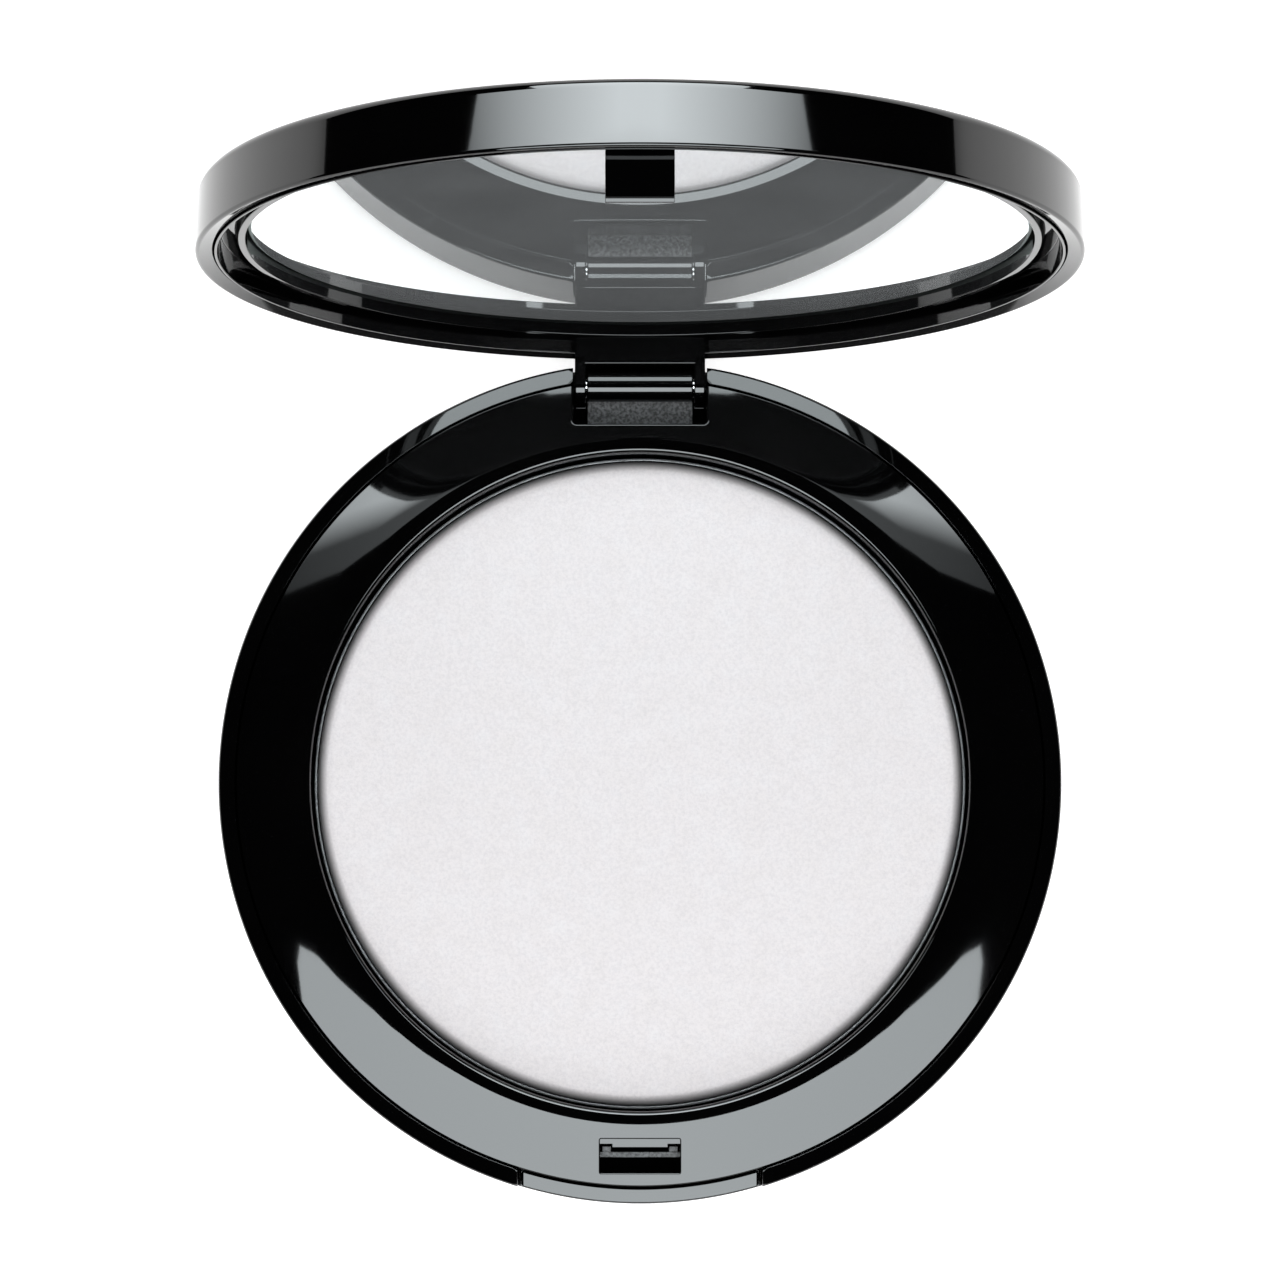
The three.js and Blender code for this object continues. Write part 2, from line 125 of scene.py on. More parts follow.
KNUCKLE_R = 1.45
KNUCKLE_HALF = 4.8
PIN_R = 0.6
PIN_HALF = 5.8
EYE_R = 1.65
LUG_INNER = 4.9
NECK_HALF = 5.9
LUG_TOP_Z = 7.98
NECK_TOP_Z = 10.1
HOOK_HALF = 2.8
MIRROR_R = 33.55
MIRROR_HEIGHTS = (2.6, 3.7)  # this and the cup's depth are measured from the lid's rim
LID_CUP = 4.9
FRAME_BACK = 36.2

BUTTON_HALF = 10.7
BUTTON_R = 37.85
BUTTON_TOP_Z = 7.15
BUTTON_BOTTOM_Z = 2.1
BUTTON_BACK_R = 36.65  # the back of the finger piece
BUTTON_INNER_R = 35.75
NECK_R = 36.7  # the neck between the finger piece and the flange
FLANGE_R = 36.28
FLANGE_HALF = 12.2
FLANGE_Z = (2.15, 6.2)
CATCH_Z = 5.85
CATCH_HALF = 4.9
HORN_X = (2.6, 3.4)
ARM_Y = (-36, -33.3)

SPRING_X = 8.0
SPRING_Z = 4.6
SEAT_HALF = 1.3  # where a spring rests on the base
SEAT_Y = (-31.25, -29.5)
PAD_HALF = 1.1  # where it pushes on the button
PAD_Y = (-35.8, -34.3)

GRID_GAP = 0.12  # from a rounding to the nearest free point
RING_SPACING = 0.5
RIM_TOLERANCE = 0.02
ROUND_STEPS = 288
FILLET_STEPS = 6
QUARTER_TURN = [k * math.pi / 2 / FILLET_STEPS for k in range(FILLET_STEPS + 1)]


# ---- meshes whose every corner has its own normal ----


class Shape:
    """Faces in millimetres. Each has its point numbers, a normal for each of them and a finish."""

    def __init__(self):
        self.points = []
        self.faces = []
        self.normals = []
        self.finish = []

    def add(self, points, faces, normals):
        first = len(self.points)
        self.points += [tuple(p) for p in points]
        self.faces += [tuple(first + i for i in face) for face in faces]
        self.normals += [[tuple(n) for n in face] for face in normals]
        self.finish += [0] * len(faces)
        return self

    def join(self, other, finish=None):
        first = len(self.points)
        self.points += other.points
        self.faces += [tuple(first + i for i in face) for face in other.faces]
        self.normals += other.normals
        self.finish += other.finish if finish is None else [finish] * len(other.faces)
        return self

    def turn(self, matrix):
        """The same shape moved by a rotation and shift, with its normals turned."""
        moved = Shape()
        rotation = matrix.to_3x3()
        moved.points = [tuple(matrix @ Vector(p)) for p in self.points]
        moved.faces = self.faces
        moved.normals = [[tuple(rotation @ Vector(n)) for n in face] for face in self.normals]
        moved.finish = self.finish
        return moved

    def make(self, name, body, stands_for, slot, materials):
        mesh = bpy.data.meshes.new(name)
        mesh.from_pydata([[c / MM for c in p] for p in self.points], [], self.faces)
        mesh.polygons.foreach_set("use_smooth", [True] * len(self.faces))
        mesh.polygons.foreach_set("material_index", self.finish)
        for material in materials:
            mesh.materials.append(material)
        mesh.normals_split_custom_set([n for face in self.normals for n in face])
        mesh.validate()
        piece = bpy.data.objects.new(name, mesh)
        bpy.context.scene.collection.objects.link(piece)
        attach(piece, body)
        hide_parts(*stands_for)
        return piece


def unit(v):
    v = np.asarray(v, float)
    return v / max(np.linalg.norm(v), 1e-12)


def fillet(corners, steps=FILLET_STEPS):
    """A line through the corners, each (r, z) or (r, z, radius), with the given radii rounded."""
    line = []
    for i, corner in enumerate(corners):
        at = np.array(corner[:2], float)
        radius = corner[2] if len(corner) > 2 else 0
        if not radius or i in (0, len(corners) - 1):
            line.append(at)
            continue
        back = unit(np.array(corners[i - 1][:2]) - at)
        ahead = unit(np.array(corners[i + 1][:2]) - at)
        half = math.acos(np.clip(back @ ahead, -1, 1)) / 2
        centre = at + unit(back + ahead) * radius / math.sin(half)
        start = at + back * radius / math.tan(half) - centre
        end = at + ahead * radius / math.tan(half) - centre
        sweep = math.pi - 2 * half
        for k in range(steps + 1):
            a = sweep * k / steps
            spot = (start * math.sin(sweep - a) + end * math.sin(a)) / math.sin(sweep)
            line.append(centre + spot)
    return [tuple(p) for p in line]


def profile_normals(line, crease_deg=40):
    """For each stretch of a profile, the normals at its two ends, outside on the right."""
    line = np.array(line, float)
    run = line[1:] - line[:-1]
    length = np.linalg.norm(run, axis=1)
    flat = np.stack([run[:, 1], -run[:, 0]], 1) / length[:, None]
    ends = [[n, n] for n in flat]
    for i in range(1, len(flat)):
        if flat[i - 1] @ flat[i] > math.cos(math.radians(crease_deg)):
            shared = unit(flat[i - 1] * length[i - 1] + flat[i] * length[i])
            ends[i - 1][1] = ends[i][0] = shared
    return ends


def lathe(line):
    """A profile of (r, z) turned about Z."""
    steps = ROUND_STEPS
    angles = np.arange(steps) * 2 * math.pi / steps
    points, rows = [], []
    for r, z in line:
        if r < 1e-6:
            rows.append([len(points)] * steps)
            points.append((0, 0, z))
        else:
            rows.append([len(points) + k for k in range(steps)])
            points += [(r * math.cos(a), r * math.sin(a), z) for a in angles]
    faces, normals = [], []
    for s, (start, end) in enumerate(profile_normals(line)):
        for k in range(steps):
            n = (k + 1) % steps
            ring = [
                (rows[s][k], start, k),
                (rows[s][n], start, n),
                (rows[s + 1][n], end, n),
                (rows[s + 1][k], end, k),
            ]
            if rows[s][k] == rows[s][n]:
                ring.pop(0)
            elif rows[s + 1][k] == rows[s + 1][n]:
                ring.pop(3)
            faces.append([i for i, _, _ in ring])
            normals.append(
                [(m[0] * math.cos(angles[j]), m[0] * math.sin(angles[j]), m[1]) for _, m, j in ring]
            )
    return Shape().add(points, faces, normals)


def closed(line):
    return [*line, line[0]]


def gathered(bm, crease_deg=50):
    """A bmesh as a Shape. Large faces set the normals, so that small bevels shade round."""
    bm.normal_update()
    bm.verts.index_update()
    limit = math.cos(math.radians(crease_deg))
    area = {f: f.calc_area() for f in bm.faces}
    normals = []
    for f in bm.faces:
        corners = []
        for v in f.verts:
            total = Vector()
            for g in v.link_faces:
                if g.normal.dot(f.normal) > limit:
                    total += g.normal * area[g]
            corners.append(tuple(total.normalized()))
        normals.append(corners)
    shape = Shape().add(
        [v.co[:] for v in bm.verts], [[v.index for v in f.verts] for f in bm.faces], normals
    )
    bm.free()
    return shape


def prism(outline, low, high, bevel=0.12, segments=3, lean=None):
    """An outline in x and y drawn up from low to high, its edges rounded."""
    bm = bmesh.new()
    floor = [bm.verts.new((x, y, low)) for x, y in outline]
    top = [bm.verts.new((x, y, high + (lean(x, y) if lean else 0))) for x, y in outline]
    bm.faces.new(top)
    bm.faces.new(floor[::-1])
    for i in range(len(outline)):
        j = (i + 1) % len(outline)
        bm.faces.new((floor[i], floor[j], top[j], top[i]))
    bmesh.ops.recalc_face_normals(bm, faces=bm.faces[:])
    if bevel:
        sharp = [e for e in bm.edges if e.calc_face_angle(0) > math.radians(25)]
        bmesh.ops.bevel(
            bm,
            geom=sharp,
            offset=bevel,
            segments=segments,
            profile=0.5,
            affect="EDGES",
            clamp_overlap=True,
        )
    return gathered(bm)


def on_side(side, near, far):
    """A stretch of X between two distances from the middle, on the side -1 or 1."""
    return sorted((side * near, side * far))


def rectangle(x, y):
    return [(x[0], y[0]), (x[1], y[0]), (x[1], y[1]), (x[0], y[1])]


ALONG_X = Matrix(((0, 0, 1, 0), (1, 0, 0, 0), (0, 1, 0, 0), (0, 0, 0, 1)))


def drawn_along_x(outline, x0, x1, bevel=0.1, segments=3):
    """An outline in y and z drawn along X."""
    return prism(outline, x0, x1, bevel, segments).turn(ALONG_X)


def circle(radius, centre=(0, 0), steps=64, start=0.0, sweep=2 * math.pi):
    count = steps if sweep == 2 * math.pi else steps + 1
    return [
        (
            centre[0] + radius * math.cos(start + sweep * k / steps),
            centre[1] + radius * math.sin(start + sweep * k / steps),
        )
        for k in range(count)
    ]


# ---- surfaces with openings whose edges are rounded ----


class Opening:
    """A rectangular opening with rounded corners."""

    def __init__(self, centre, half, corner, rounding):
        self.centre, self.half = np.array(centre, float), np.array(half, float)
        self.corner, self.rounding = corner, rounding

    def distance(self, p):
        """How far the points p are outside the opening, and which way is out."""
        q = np.abs(p - self.centre) - (self.half - self.corner)
        side = np.sign(p - self.centre)
        out = np.maximum(q, 0)
        length = np.linalg.norm(out, axis=1)
        inside = np.minimum(np.maximum(q[:, 0], q[:, 1]), 0)
        way = out / np.maximum(length, 1e-9)[:, None]
        flat = length < 1e-9
        way[flat] = np.where((q[flat, 0] > q[flat, 1])[:, None], [1.0, 0.0], [0.0, 1.0])
        return length + inside - self.corner, way * side

    def ring(self, d):
        """The line at a distance from the opening's border."""
        wide, tall = self.half + d
        radius = self.corner + d
        line = []
        for quarter, (sx, sy) in enumerate([(1, 1), (-1, 1), (-1, -1), (1, -1)]):
            cx, cy = sx * (wide - radius), sy * (tall - radius)
            line += circle(radius, (cx, cy), 8, quarter * math.pi / 2, math.pi / 2)
        dense = []
        for a, b in zip(line, line[1:] + line[:1]):
            gap = math.dist(a, b)
            parts = max(1, round(gap / RING_SPACING))
            dense += [
                (a[0] + (b[0] - a[0]) * k / parts, a[1] + (b[1] - a[1]) * k / parts)
                for k in range(parts)
            ]
        return np.array(dense) + self.centre


class Edge:
    """A round edge of the surface at a radius, with the surface inside it or outside it."""

    def __init__(self, radius, outside, rounding):
        self.radius, self.sign, self.rounding = radius, 1 if outside else -1, rounding

    def distance(self, p):
        r = np.linalg.norm(p, axis=1)
        return self.sign * (r - self.radius), self.sign * p / np.maximum(r, 1e-9)[:, None]

    def ring(self, d):
        return np.array(circle(self.radius + self.sign * d, steps=ROUND_STEPS))


class Sheet:
    """A surface over a flat region, lifted into place, whose openings and edges are rounded."""

    def __init__(self, region, grid, edges, lift):
        """region: closed lines round the outside. lift(p) gives points, normals and 2 tangents."""
        self.edges = edges
        lines = [np.array(line) for line in region]
        for edge in edges:
            lines += [edge.ring(edge.rounding * (1 - math.cos(a))) for a in QUARTER_TURN]
        clear = np.ones(len(grid), bool)
        for edge in edges:
            clear &= edge.distance(grid)[0] > edge.rounding + GRID_GAP
        coords, links = [], []
        for line in lines:
            first = len(coords)
            coords += [Vector(p) for p in line]
            links += [(first + k, first + (k + 1) % len(line)) for k in range(len(line))]
        coords += [Vector(p) for p in grid[clear]]
        flat, _, triangles, _, _, _ = delaunay_2d_cdt(coords, links, [], 0, 1e-5)
        self.flat = np.array([p[:] for p in flat])
        triangles = np.array([t for t in triangles if len(t) == 3])
        middle = self.flat[triangles].mean(1)
        keep = np.ones(len(triangles), bool)
        for edge in edges:
            keep &= edge.distance(middle)[0] > 0
        for line in region:
            keep &= inside_polygon(middle, np.array(line))
        self.triangles = triangles[keep]
        self.points, self.normals, u, v = lift(self.flat)
        for edge in edges:
            d, way = edge.distance(self.flat)
            near = d < edge.rounding
            s = np.clip((edge.rounding - d[near]) / edge.rounding, 0, 1)
            sink = edge.rounding * (1 - np.sqrt(np.maximum(1 - s * s, 0)))
            out = way[near, :1] * u[near] + way[near, 1:] * v[near]
            out /= np.maximum(np.linalg.norm(out, axis=1), 1e-9)[:, None]
            self.points[near] -= self.normals[near] * sink[:, None]
            slope = np.sqrt(np.maximum(1 - s * s, 0))[:, None]
            self.normals[near] = self.normals[near] * slope - out * s[:, None]
            length = np.linalg.norm(self.normals[near], axis=1)
            self.normals[near] /= length[:, None]
        a, b, c = (self.points[self.triangles[:, k]] for k in range(3))
        facing = np.einsum("ij,ij->i", np.cross(b - a, c - a), self.normals[self.triangles[:, 0]])
        if np.median(facing) < 0:
            self.triangles = self.triangles[:, ::-1]

    def shape(self):
        normals = self.normals[self.triangles]
        return Shape().add(self.points, self.triangles.tolist(), normals.tolist())

    def rim(self, edge, wanted):
        """The border's edges that lie on one of the openings, as pairs of point numbers."""
        sides = np.concatenate([self.triangles[:, [k, (k + 1) % 3]] for k in range(3)])
        key = np.sort(sides, 1)
        _, first, count = np.unique(key, axis=0, return_index=True, return_counts=True)
        border = sides[first[count == 1]]
        middle = self.flat[border].mean(1)
        near = np.abs(self.edges[edge].distance(middle)[0]) < RIM_TOLERANCE
        return border[near & wanted(middle)]

    def wall(self, edge, target, wanted=lambda p: np.ones(len(p), bool)):
        """A wall from one opening's border to where target(points) puts it."""
        border = self.rim(edge, wanted)
        points, faces, normals = [], [], []
        for a, b in border:
            start = self.points[[b, a]]
            end = target(self.points[[a, b]])
            facing = self.normals[[b, a, a, b]]
            first = len(points)
            points += [*start, *end]
            faces.append([first, first + 1, first + 2, first + 3])
            normals.append(facing.tolist())
        return Shape().add(points, faces, normals)


def inside_polygon(points, polygon):
    x, y = points[:, 0], points[:, 1]
    hit = np.zeros(len(points), bool)
    for (x0, y0), (x1, y1) in zip(polygon, np.roll(polygon, -1, 0)):
        if y0 != y1:
            across = (y0 > y) != (y1 > y)
            hit ^= across & (x < (x1 - x0) * (y - y0) / (y1 - y0) + x0)
    return hit


# ---- materials ----


def material(name):
    made = bpy.data.materials.new(name)
    made.use_nodes = True
    tree = made.node_tree
    return made, tree, tree.nodes["Principled BSDF"]


def node(tree, kind, **settings):
    made = tree.nodes.new(kind)
    for key, value in settings.items():
        if key in made.inputs:
            made.inputs[key].default_value = value
        else:
            setattr(made, key, value)
    return made


def object_noise(tree, scale, detail=4.0, roughness=0.55, stretch=None):
    """Noise fixed to the piece. Scale counts features per metre."""
    where = node(tree, "ShaderNodeTexCoord")
    noise = node(tree, "ShaderNodeTexNoise", Scale=scale, Detail=detail, Roughness=roughness)
    if stretch:
        mapping = node(tree, "ShaderNodeMapping", Scale=stretch)
        tree.links.new(where.outputs["Object"], mapping.inputs["Vector"])
        tree.links.new(mapping.outputs["Vector"], noise.inputs["Vector"])
    else:
        tree.links.new(where.outputs["Object"], noise.inputs["Vector"])
    return noise.outputs["Fac"]


def spread(tree, value, low, high, out_low, out_high):
    ranged = node(tree, "ShaderNodeMapRange")
    tree.links.new(value, ranged.inputs["Value"])
    ends = {"From Min": low, "From Max": high, "To Min": out_low, "To Max": out_high}
    for key, number in ends.items():
        ranged.inputs[key].default_value = number
    return ranged.outputs["Result"]


def colours(tree, value, stops):
    ramp = node(tree, "ShaderNodeValToRGB")
    tree.links.new(value, ramp.inputs["Fac"])
    elements = ramp.color_ramp.elements
    while len(elements) < len(stops):
        elements.new(0.5)
    for element, (at, colour) in zip(elements, stops):
        element.position, element.color = at, (*colour, 1)
    return ramp.outputs["Color"]


def dress(tree, shader, tint, rough):
    """A colour and a roughness for a shader."""
    tree.links.new(tint, shader.inputs["Base Color"])
    tree.links.new(rough, shader.inputs["Roughness"])


def bumped(tree, shader, heights):
    """heights: (socket, distance in metres, strength), laid one on another."""
    last = None
    for height, distance, strength in heights:
        bump = node(tree, "ShaderNodeBump", Strength=strength, Distance=distance)
        tree.links.new(height, bump.inputs["Height"])
        if last:
            tree.links.new(last, bump.inputs["Normal"])
        last = bump.outputs["Normal"]
    tree.links.new(last, shader.inputs["Normal"])


def gloss_black():
    """Moulded black plastic with a high polish, faint hairlines and dust."""
    made, tree, shader = material("gloss_black_plastic")
    shader.inputs["IOR"].default_value = 1.5
    soft = object_noise(tree, 90, 3)
    hairs = object_noise(tree, 700, 5, 0.6, (1, 0.06, 1))
    dust = object_noise(tree, 5200, 2, 0.5)
    tint = colours(tree, soft, [(0.3, (0.0005, 0.0005, 0.0006)), (0.7, (0.001, 0.001, 0.0011))])
    haze = spread(tree, soft, 0.3, 0.7, 0.028, 0.05)
    specks = spread(tree, dust, 0.74, 0.8, 0.0, 0.12)
    both = node(tree, "ShaderNodeMath", operation="ADD")
    tree.links.new(haze, both.inputs[0])
    tree.links.new(specks, both.inputs[1])
    dress(tree, shader, tint, both.outputs[0])
    bumped(tree, shader, [(soft, 0.00002, 0.25), (hairs, 0.0000006, 0.3)])
    return made


def spark_texture():
    """The same plastic with a sparked mould finish."""
    made, tree, shader = material("textured_black_plastic")
    coarse = object_noise(tree, 3900, 2, 0.6)
    fine = object_noise(tree, 12000, 2, 0.5)
    tint = colours(tree, coarse, [(0.38, (0.012, 0.012, 0.012)), (0.62, (0.075, 0.077, 0.08))])
    dress(tree, shader, tint, spread(tree, fine, 0.3, 0.7, 0.42, 0.6))
    bumped(tree, shader, [(coarse, 0.00006, 0.9), (fine, 0.00002, 0.6)])
    return made


def distance_out(tree):
    """Distance from the compact's upright middle line, in metres."""
    where = node(tree, "ShaderNodeTexCoord")
    flat = node(tree, "ShaderNodeVectorMath", operation="MULTIPLY")
    flat.inputs[1].default_value = (1, 1, 0)
    far = node(tree, "ShaderNodeVectorMath", operation="LENGTH")
    tree.links.new(where.outputs["Object"], flat.inputs[0])
    tree.links.new(flat.outputs[0], far.inputs[0])
    return far.outputs["Value"]


def powder():
    """Pressed powder: fine grains, faint patches, painted light making it paler to the front, and
    painted shade at its edge.
    """
    made, tree, shader = material("pressed_powder")
    shader.inputs["Specular IOR Level"].default_value = 0.18
    shader.inputs["Sheen Weight"].default_value = 0.08
    shader.inputs["Sheen Roughness"].default_value = 0.5
    patches = object_noise(tree, 420, 5, 0.7)
    grain = object_noise(tree, 3600, 4, 0.7)
    fine = object_noise(tree, 11000, 2, 0.6)
    tint = colours(
        tree,
        patches,
        [(0.3, (0.815, 0.79, 0.80)), (0.5, (0.83, 0.805, 0.82)), (0.7, (0.838, 0.822, 0.84))],
    )
    grains = colours(tree, grain, [(0.25, (0.86, 0.86, 0.87)), (0.6, (1, 1, 1))])
    mixed = node(tree, "ShaderNodeMix", data_type="RGBA", blend_type="MULTIPLY")
    mixed.inputs["Factor"].default_value = 1.0
    tree.links.new(tint, mixed.inputs[6])
    tree.links.new(grains, mixed.inputs[7])
    # Painted shade: the colour darkens towards the cake's rim, standing in for the shade at the
    # powder's edge under the well's wall.
    edge_shaded_colour = node(tree, "ShaderNodeMix", data_type="RGBA")
    edge_shaded_colour.inputs[6].default_value = (0.02, 0.02, 0.021, 1)
    edge_shade_from, edge_shade_to = 0.0282, 0.02915
    edge_shade_amount = spread(tree, distance_out(tree), edge_shade_from, edge_shade_to, 1.0, 0.05)
    tree.links.new(edge_shade_amount, edge_shaded_colour.inputs["Factor"])
    # Painted light and shade: the colour is scaled paler towards the front and darker towards the
    # hinge, standing in for how the light falls.
    where = node(tree, "ShaderNodeTexCoord")
    split = node(tree, "ShaderNodeSeparateXYZ")
    tree.links.new(where.outputs["Object"], split.inputs[0])
    front_lit_colour = node(tree, "ShaderNodeVectorMath", operation="SCALE")
    tree.links.new(mixed.outputs[2], front_lit_colour.inputs[0])
    front, back = -0.028, 0.028
    painted_front_light = spread(tree, split.outputs["Y"], front, back, 1.06, 0.88)
    tree.links.new(painted_front_light, front_lit_colour.inputs["Scale"])
    tree.links.new(front_lit_colour.outputs[0], edge_shaded_colour.inputs[7])
    dress(tree, shader, edge_shaded_colour.outputs[2], spread(tree, grain, 0.3, 0.7, 0.78, 0.98))
    bumped(tree, shader, [(patches, 0.00003, 0.3), (grain, 0.00003, 0.5), (fine, 0.00001, 0.4)])
    return made


def metal(name, tint, rough, hair_scale, stretch):
    """Drawn or turned metal with fine lines and a little tarnish."""
    made, tree, shader = material(name)
    shader.inputs["Metallic"].default_value = 1.0
    hairs = object_noise(tree, hair_scale, 4, 0.6, stretch)
    stain = object_noise(tree, 350, 3)
    darker = tuple(c * 0.78 for c in tint)
    stained = colours(tree, stain, [(0.3, darker), (0.65, tint)])
    dress(tree, shader, stained, spread(tree, hairs, 0.3, 0.7, rough * 0.7, rough * 1.4))
    bumped(tree, shader, [(hairs, 0.000001, 0.25)])
    return made


def mirror_glass():
    """A silvered glass disc with a pale veil and a little dust."""
    made, tree, shader = material("mirror_glass")
    shader.inputs["Metallic"].default_value = 1.0
    haze = object_noise(tree, 120, 4)
    dust = object_noise(tree, 4200, 2, 0.5)
    tint = colours(tree, haze, [(0.3, (0.80, 0.82, 0.82)), (0.7, (0.84, 0.86, 0.86))])
    dress(tree, shader, tint, spread(tree, dust, 0.76, 0.82, 0.004, 0.08))
    veil = node(tree, "ShaderNodeBsdfDiffuse", Roughness=0.9)
    veil.inputs["Color"].default_value = (0.8, 0.84, 0.86, 1)
    blend = node(tree, "ShaderNodeMixShader")
    tree.links.new(spread(tree, haze, 0.25, 0.75, 0.078, 0.098), blend.inputs["Fac"])
    tree.links.new(shader.outputs[0], blend.inputs[1])
    tree.links.new(veil.outputs[0], blend.inputs[2])
    tree.links.new(blend.outputs[0], tree.nodes["Material Output"].inputs["Surface"])
    return made


def glass_edge():
    """The mirror's ground edge."""
    made, tree, shader = material("mirror_ground_edge")
    grind = object_noise(tree, 6000, 3)
    tint = colours(tree, grind, [(0.3, (0.33, 0.38, 0.37)), (0.7, (0.5, 0.56, 0.55))])
    dress(tree, shader, tint, spread(tree, grind, 0.3, 0.7, 0.3, 0.5))
    bumped(tree, shader, [(grind, 0.00001, 0.5)])
    return made


def matte(name, dark, light, scale, rough):
    """Paper, foam or adhesive."""
    made, tree, shader = material(name)
    grain = object_noise(tree, scale, 5, 0.65)
    tint = colours(tree, grain, [(0.3, dark), (0.7, light)])
    dress(tree, shader, tint, spread(tree, grain, 0.3, 0.7, rough, min(1, rough + 0.15)))
    bumped(tree, shader, [(grain, 0.00002, 0.6)])
    return made


BLACK = gloss_black()
SPARK = spark_texture()
POWDER = powder()
# Painted shade: the pan metal's tint is kept dark (0.2) to stand for the shade on the pan down in
# the well.
PAN_METAL = metal("pan_metal", (0.2, 0.203, 0.206), 0.42, 2600, (1, 1, 0.05))
STEEL = metal("pin_steel", (0.62, 0.63, 0.64), 0.24, 3000, (0.05, 1, 1))
MIRROR = mirror_glass()
GLASS_EDGE = glass_edge()
PAPER = matte("label_paper", (0.72, 0.715, 0.70), (0.82, 0.815, 0.80), 1800, 0.6)
ADHESIVE = matte("adhesive", (0.55, 0.53, 0.45), (0.68, 0.66, 0.58), 900, 0.55)
FOAM = matte("foam_tape", (0.012, 0.012, 0.013), (0.03, 0.03, 0.032), 2400, 0.8)


# ---- base shell ----


def shell_line():
    """The cup's wall as a profile: under the foot, up outside, over the rim and down inside."""
    top = BASE_HEIGHT - 0.002
    fall = math.tan(math.radians(RIM_FALL_DEG)) * (RADIUS - SHELL_INNER_R)
    corners = [
        (FOOT_INNER_R, 0),
        (RADIUS, 0, FOOT_ROUND),
        (RADIUS, top - fall, 0.4),
        (SHELL_INNER_R, top, 0.03),
        (SHELL_INNER_R, SHELL_FLOOR),
    ]
    return fillet(corners, 8)


class Wall:
    """The cup's wall unrolled: u along the outline, v along the profile."""

    def __init__(self, half_width, sill_z, facing_deg):
        self.line = np.array(shell_line())
        run = np.linalg.norm(np.diff(self.line, axis=0), axis=1)
        self.v = np.concatenate([[0], np.cumsum(run)])
        ends = profile_normals(self.line)
        self.n = np.array([ends[0][0]] + [end for _, end in ends])
        self.half, self.facing = half_width, math.radians(facing_deg)
        self.v_outer = self.v_at(sill_z, outside=True)
        self.v_inner = self.v_at(sill_z, outside=False)

    def v_at(self, z, outside):
        top = self.line[:, 1].argmax()
        part = slice(0, top + 1) if outside else slice(top, len(self.line))
        heights, along = self.line[part, 1], self.v[part]
        if not outside:
            heights, along = heights[::-1], along[::-1]
        return float(np.interp(z, heights, along))

    def lift(self, p):
        u, v = p[:, 0], p[:, 1]
        r = np.interp(v, self.v, self.line[:, 0])
        z = np.interp(v, self.v, self.line[:, 1])
        nr = np.interp(v, self.v, self.n[:, 0])
        nz = np.interp(v, self.v, self.n[:, 1])
        size = np.hypot(nr, nz)
        nr, nz = nr / size, nz / size
        edge = math.asin(self.half / RADIUS)
        shift = np.arcsin(np.clip(self.half / r, -1, 1)) - edge
        side = np.clip(np.abs(u) / RADIUS / edge, 0, None)
        pull = np.where(side < 1, side, np.clip(2 - side, 0, 1))
        angle = u / RADIUS + np.sign(u) * shift * pull + self.facing
        c, s = np.cos(angle), np.sin(angle)
        points = np.stack([r * c, r * s, z], 1)
        normals = np.stack([nr * c, nr * s, nz], 1)
        around = np.stack([-s, c, 0 * s], 1)
        up = np.stack([-nz * c, -nz * s, nr], 1)
        return points, normals, around, up


def wall_half(half_width, sill_z, facing_deg):
    """Half of the cup's wall, with one opening cut down from the rim to a sill."""
    wall = Wall(half_width, sill_z, facing_deg)
    reach = RADIUS * math.pi / 2
    columns = np.linspace(-reach, reach, ROUND_STEPS // 2 + 1)
    rows = wall.v
    grid = np.array([(u, v) for u in columns[1:-1] for v in rows[1:-1]])
    region = [
        [(u, rows[0]) for u in columns]
        + [(reach, v) for v in rows[1:-1]]
        + [(u, rows[-1]) for u in columns[::-1]]
        + [(-reach, v) for v in rows[-2:0:-1]]
    ]
    middle = (wall.v_outer + wall.v_inner) / 2
    half_u = math.asin(half_width / RADIUS) * RADIUS
    opening = Opening((0, middle), (half_u, (wall.v_inner - wall.v_outer) / 2), 0.3, 0.06)
    sheet = Sheet(region, grid, [opening], wall.lift)
    top_v = wall.v[wall.line[:, 1].argmax()]

    def across(points):
        inner = SHELL_INNER_R + 0.12
        y = np.sqrt(inner**2 - points[:, 0] ** 2) * np.sign(points[:, 1])
        return np.stack([points[:, 0], y, points[:, 2]], 1)

    sill = sheet.wall(0, across, lambda p: p[:, 1] < top_v)
    return sheet.shape().join(sill)


def base_shell():
    recess = [(0, RECESS_DEPTH), (RECESS_R - 0.05, RECESS_DEPTH), (RECESS_R, RECESS_DEPTH - 0.05)]
    recess += [(RECESS_R, 0.05), (RECESS_R + 0.05, 0), (FOOT_INNER_R, 0)]
    shape = lathe(recess)
    shape.join(lathe([(SHELL_INNER_R, SHELL_FLOOR), (0, SHELL_FLOOR)]))
    shape.join(wall_half(WINDOW_HALF, WINDOW_SILL_Z, -90))
    shape.join(wall_half(NOTCH_HALF, NOTCH_SILL_Z, 90))
    return shape.make("base_shell_cup", "base", ["base_shell"], "gloss_black_plastic", [BLACK])


# ---- base frame: the deck, the well and the hinge pocket ----

# The deck's slope in degrees against its radius: level, a soft crease, then nearly a cone.
DECK_SLOPE_R = [0, 30.6, 30.85, 31.1, 31.45, 32.8, DECK_R]
DECK_SLOPE_DEG = [0, 0, 3.5, 7.6, 9.4, 11.6, 14.2]


def deck_height(r):
    """The deck's height and slope at each radius."""
    table = np.linspace(WELL_R - 1, DECK_R + 0.5, 1200)
    slope = np.tan(np.radians(np.interp(table, DECK_SLOPE_R, DECK_SLOPE_DEG)))
    drop = np.concatenate([[0], np.cumsum((slope[1:] + slope[:-1]) / 2 * np.diff(table))])
    return DECK_CREST_Z - 0.003 - np.interp(r, table, drop), np.interp(r, table, slope)


